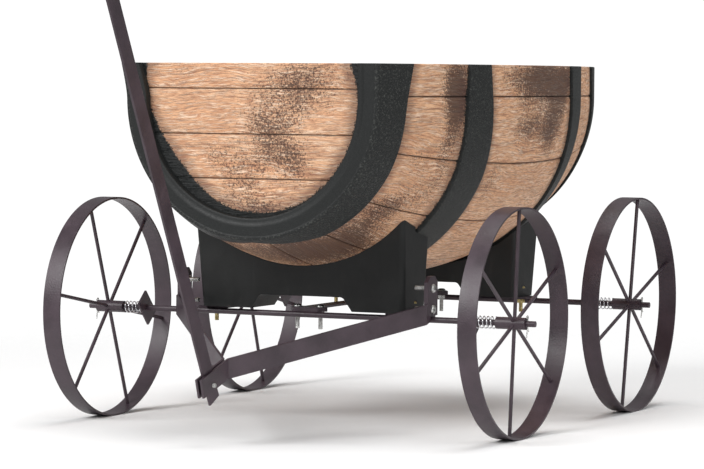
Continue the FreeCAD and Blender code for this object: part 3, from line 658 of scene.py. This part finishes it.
def rim_top(mesh, outer):
    """Flat top of the wall, of the two ring ends, and of the heads."""
    end = HALF_LENGTH - RECESS - WALL
    for side, row in ((-1, outer[0]), (1, outer[-1])):
        near, far = [], []
        for number in row:
            x, y, z = mesh.points[number]
            across = y / MM
            if abs(across) <= end + 0.01:
                inner = side * (stave_radius(across) - WALL + RIM_ROUND + flare(side, RISE, across)) * MM
            else:
                lean = HEAD_LEAN if side < 0 and across < 0 else 0.0
                inner = side * (HEAD_RADIUS + lean - 1.0) * MM
            on_wood = mesh.layers["paint"][number]
            grain = mesh.layers["grain"][number]
            near.append(mesh.add((x, y, z), paint=on_wood, pebble=0.0, stain=0.2, crease=0.0, grain=grain))
            far.append(mesh.add((inner, y, z), paint=max(on_wood, 0.0), pebble=0.0, stain=0.2, crease=0.0,
                                grain=grain))
        breaks = [k for k, number in enumerate(row) if abs(mesh.points[number][1] / MM) <= end + 0.01]
        first, last = breaks[0], breaks[-1]
        for a, b in ((0, first), (first, last), (last, len(row) - 1)):
            mesh.grid([near[a:b + 1], far[a:b + 1]])
    for sign in (-1, 1):
        front_y = sign * (HALF_LENGTH - RECESS - 1.0)
        back_y = sign * end
        lean = HEAD_LEAN if sign < 0 else 0.0
        right = stave_radius(end) - WALL
        left = -(right + RIM_ROUND + (WALL_LEAN if sign < 0 else 0.0))
        rows = []
        for y in (front_y, back_y):
            row = []
            for k in range(25):
                x = left + (right - left) * k / 24
                paint = max(abs(x + lean * (x < 0)) - HEAD_RADIUS, -40.0)
                row.append(mesh.add(to_world(x, y, RISE), paint=paint, pebble=0.0, stain=0.1, crease=0.0,
                                    grain=(x * MM, y * MM, 70.0 + sign)))
            rows.append(row)
        mesh.grid(rows)


def barrel():
    mesh = Mesh("barrel_look")
    outer = outer_wall(mesh)
    for front in (True, False):
        end_ring(mesh, outer, front)
        head(mesh, front)
    inner_wall(mesh)
    rim_top(mesh, outer)
    mesh.make("chassis", "tub_wood_look", ["barrel_tub"], smooth=50)


# ---------------------------------------------------------------- fasteners

def lathe(mesh, profile, frame_at, segments=28, radius_at=None):
    """Turns (along, radius) pairs about an axis; radius_at may change a radius by its angle."""
    rows = []
    for along, radius in profile:
        row = []
        for k in range(segments):
            angle = 2 * math.pi * k / segments
            r = radius_at(along, radius, angle) if radius_at else radius
            row.append(mesh.add(frame_at(along, r * math.cos(angle), r * math.sin(angle))))
        rows.append(row)
    mesh.grid(rows, closed=True)
    return rows


def axis_frame(centre, direction):
    """Places (along, across, up) from a point; direction is the axis as a unit vector."""
    direction = Vector(direction)
    helper = Vector((0, 0, 1)) if abs(direction.z) < 0.5 else Vector((0, 1, 0))
    side = direction.cross(helper).normalized()
    third = direction.cross(side)

    def place(along, a, b):
        return tuple(Vector(centre) + direction * along + side * a + third * b)
    return place


def bolt_shape(mesh, seat, direction, head_radius, head_height, shank_radius, shank_length, spin):
    """Pan head with a cross recess on the seat, and a threaded shank behind it."""
    place = axis_frame(seat, direction)
    segments = 48
    pitch, thread = 1.0 * MM, 0.35 * MM

    dome = []
    for share in (0.0, 0.35, 0.6, 0.78, 0.9, 0.97, 1.0):
        radius = head_radius * math.sqrt(max(1 - max(share - 0.3, 0) ** 2 / 0.7, 0.0))
        dome.append((head_height * share * 0.95, radius))
    rows = lathe(mesh, dome, place, segments)
    previous = rows[-1]
    last_radius = dome[-1][1]
    arm, slot_width, depth = head_radius * 0.5, head_radius * 0.13, head_height * 0.55
    for share in (0.9, 0.8, 0.7, 0.6, 0.5, 0.42, 0.34, 0.26, 0.18, 0.1, 0.04):
        radius = last_radius * share
        row = []
        for k in range(segments):
            angle = 2 * math.pi * k / segments + spin
            a, b = radius * math.cos(angle), radius * math.sin(angle)
            off = min(abs(radius * math.cos(angle - spin)), abs(radius * math.sin(angle - spin)))
            sunk = 1 - smoothstep(slot_width * 0.75, slot_width * 1.25, off)
            sunk *= 1 - smoothstep(arm * 0.8, arm, radius)
            crown = head_height * (0.95 + 0.05 * (1 - share))
            row.append(mesh.add(place(crown - depth * sunk, a, b)))
        mesh.faces.extend((previous[k], previous[(k + 1) % segments], row[(k + 1) % segments], row[k])
                          for k in range(segments))
        previous = row
    mesh.faces.append(tuple(previous))
    lathe(mesh, [(0.0, head_radius), (0.0, shank_radius)], place, segments)
    turns = int(shank_length / pitch * 4)
    profile = [(0.0, shank_radius)]
    profile += [(-shank_length * k / turns, shank_radius) for k in range(1, turns)]
    profile += [(-shank_length, shank_radius * 0.8)]

    def threaded(along, radius, angle):
        phase = (-along / pitch + angle / (2 * math.pi)) % 1.0
        cut = thread * (1 - abs(2 * phase - 1))
        runout = smoothstep(0.0, 3 * pitch, -along)
        return radius - cut * runout
    shank = lathe(mesh, profile, place, 20, threaded)
    mesh.faces.append(tuple(shank[-1]))


def nut_shape(mesh, seat, direction, width, height, bore, turn):
    """Hexagon nut with both faces chamfered, and its bore."""
    place = axis_frame(seat, direction)
    segments = 48
    flat = width / 2
    levels = (0.0, 0.04, 0.1, 0.16, 0.84, 0.9, 0.96, 1.0)

    def hexed(along, radius, angle):
        local = (angle + turn) % (math.pi / 3) - math.pi / 6
        return min(flat / math.cos(local), radius)

    profile = [(0.0, bore)]
    for share in levels:
        edge = min(share, 1 - share) * height
        profile.append((height * share, flat * 0.96 + edge * 1.8 if edge < 0.17 * height else flat * 1.2))
    profile.append((height, bore))
    profile.append((height * 0.5, bore))
    rows = lathe(mesh, profile, place, segments, lambda a, r, t: hexed(a, r, t) if r > bore * 1.01 else r)
    mesh.grid([rows[-1], rows[0]], closed=True)


def clusters(node, key):
    """Boxes of a CAD node's separate pieces, told apart by key(vertex)."""
    found = {}
    for vertex in frame["nodes"][node].data.vertices:
        low_high = found.setdefault(key(vertex.co), [Vector(vertex.co), Vector(vertex.co)])
        for axis in range(3):
            low_high[0][axis] = min(low_high[0][axis], vertex.co[axis])
            low_high[1][axis] = max(low_high[1][axis], vertex.co[axis])
    return [found[k] for k in sorted(found)]


BOLT_RADIUS = 3 * MM
NUT_WIDTH = 10 * MM


def quarter(point):
    return (point.x > 0, point.y > 0)


def upright_bolts(node, slot, head_height):
    mesh = Mesh(f"{node}_look")
    for k, (low, high) in enumerate(clusters(node, quarter)):
        seat = ((low.x + high.x) / 2, (low.y + high.y) / 2, high.z - head_height)
        bolt_shape(mesh, seat, (0, 0, 1), (high.x - low.x) / 2, head_height, BOLT_RADIUS,
                   seat[2] - low.z, 0.4 + 0.9 * k)
    mesh.make("chassis", slot, [node])


def upright_nuts(node, slot):
    mesh = Mesh(f"{node}_look")
    for k, (low, high) in enumerate(clusters(node, quarter)):
        seat = ((low.x + high.x) / 2, (low.y + high.y) / 2, high.z)
        nut_shape(mesh, seat, (0, 0, -1), NUT_WIDTH, high.z - low.z, BOLT_RADIUS, 0.0)
    mesh.make("chassis", slot, [node])


def sideways(node_bolts, node_nuts, head_height, key):
    mesh = Mesh(f"{node_bolts}_look")
    for k, (low, high) in enumerate(clusters(node_bolts, key)):
        out = 1 if (low.x + high.x) > 0 else -1
        head_end = high.x if out > 0 else low.x
        tail = low.x if out > 0 else high.x
        seat = (head_end - out * head_height, (low.y + high.y) / 2, (low.z + high.z) / 2)
        bolt_shape(mesh, seat, (out, 0, 0), (high.z - low.z) / 2, head_height, BOLT_RADIUS,
                   abs(seat[0] - tail), 0.3 + 0.7 * k)
    mesh.make("chassis", "zinc_plate", [node_bolts])
    mesh = Mesh(f"{node_nuts}_look")
    for low, high in clusters(node_nuts, key):
        inward = -1 if (low.x + high.x) > 0 or node_nuts == "handle_nut" else 1
        seat = (high.x if inward < 0 else low.x, (low.y + high.y) / 2, (low.z + high.z) / 2)
        nut_shape(mesh, seat, (inward, 0, 0), NUT_WIDTH, high.x - low.x, BOLT_RADIUS, 0.0)
    mesh.make("chassis", "zinc_plate", [node_nuts])


# ---------------------------------------------------------------- the CAD nodes that stay

def dress_cad_nodes():
    for entry in frame["record"]["subparts"]:
        name, slot = entry["node"], entry["material_slot"]
        piece = frame["nodes"][name]
        if not piece.material_slots:
            piece.data.materials.append(MATERIALS[slot])
        for socket in piece.material_slots:
            socket.material = MATERIALS[slot]


# ---------------------------------------------------------------- camera, floor and lights

def camera():
    yaw, pitch, roll = math.radians(26.40), math.radians(2.79), math.radians(0.35)
    back = Vector((math.sin(yaw) * math.cos(pitch), -math.cos(yaw) * math.cos(pitch), math.sin(pitch)))
    right = Vector((math.cos(yaw), math.sin(yaw), 0.0))
    up = right.cross(-back)
    across = right * math.cos(roll) + up * math.sin(roll)
    upward = up * math.cos(roll) - right * math.sin(roll)
    data = bpy.data.cameras.new("camera")
    data.sensor_width = 36.0
    data.lens = 161.81
    data.clip_end = 200.0
    eye = bpy.data.objects.new("camera", data)
    bpy.context.scene.collection.objects.link(eye)
    matrix = eye.matrix_world.to_3x3()
    matrix.col[0], matrix.col[1], matrix.col[2] = across, upward, back
    eye.matrix_world = matrix.to_4x4()
    eye.location = (1.9542, -4.0021, 0.4691)
    bpy.context.scene.camera = eye


def light(name, place, target, size, power):
    data = bpy.data.lights.new(name, "AREA")
    data.shape = "DISK"
    data.size = size
    data.energy = power
    lamp = bpy.data.objects.new(name, data)
    bpy.context.scene.collection.objects.link(lamp)
    lamp.location = place
    lamp.rotation_euler = (Vector(target) - Vector(place)).to_track_quat("-Z", "Y").to_euler()


def floor():
    mesh = Mesh("floor")
    size, step = 30.0, 24
    rows = []
    for i in range(step + 1):
        rows.append([mesh.add((-size + 2 * size * i / step, -size + 2 * size * j / step, 0.0))
                     for j in range(step + 1)])
    mesh.grid(rows)
    data = bpy.data.meshes.new("floor")
    data.from_pydata(mesh.points, [], mesh.faces)
    data.materials.append(floor_material())
    piece = bpy.data.objects.new("floor", data)
    bpy.context.scene.collection.objects.link(piece)


def studio():
    """Soft lights, in a world that looks white to the camera and lights the scene less than that."""
    bpy.context.scene.view_settings.view_transform = "Standard"
    world = bpy.data.worlds.new("studio")
    bpy.context.scene.world = world
    world.use_nodes = True
    backdrop = world.node_tree.nodes["Background"]
    backdrop.inputs["Color"].default_value = (1.0, 1.0, 1.0, 1.0)
    tree = world.node_tree
    seen = tree.nodes.new("ShaderNodeLightPath").outputs["Is Camera Ray"]
    strength = tree.nodes.new("ShaderNodeMapRange")
    strength.inputs["To Min"].default_value = 0.32
    strength.inputs["To Max"].default_value = 1.05
    tree.links.new(seen, strength.inputs["Value"])
    tree.links.new(strength.outputs["Result"], backdrop.inputs["Strength"])
    middle = (0.0, 0.0, 0.3)
    light("key", (-1.6, -3.6, 2.7), middle, 2.2, 150.0)
    light("fill", (3.6, -2.0, 2.0), middle, 2.5, 62.0)
    light("top", (0.2, 0.6, 3.6), middle, 2.6, 75.0)


barrel()
upright_bolts("reach_bolts", "zinc_plate", 3.5 * MM)
upright_bolts("saddle_bolts", "yellow_zinc", 3.5 * MM)
upright_nuts("reach_nuts", "zinc_plate")
upright_nuts("saddle_nuts", "yellow_zinc")
lug_middle = sum(corner.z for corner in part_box("tongue_bolts")) / 2
sideways("tongue_bolts", "tongue_nuts", 3.5 * MM, lambda p: (p.x > 0, p.z > lug_middle))
sideways("handle_bolt", "handle_nut", 3.5 * MM, lambda p: True)
dress_cad_nodes()
camera()
floor()
studio()
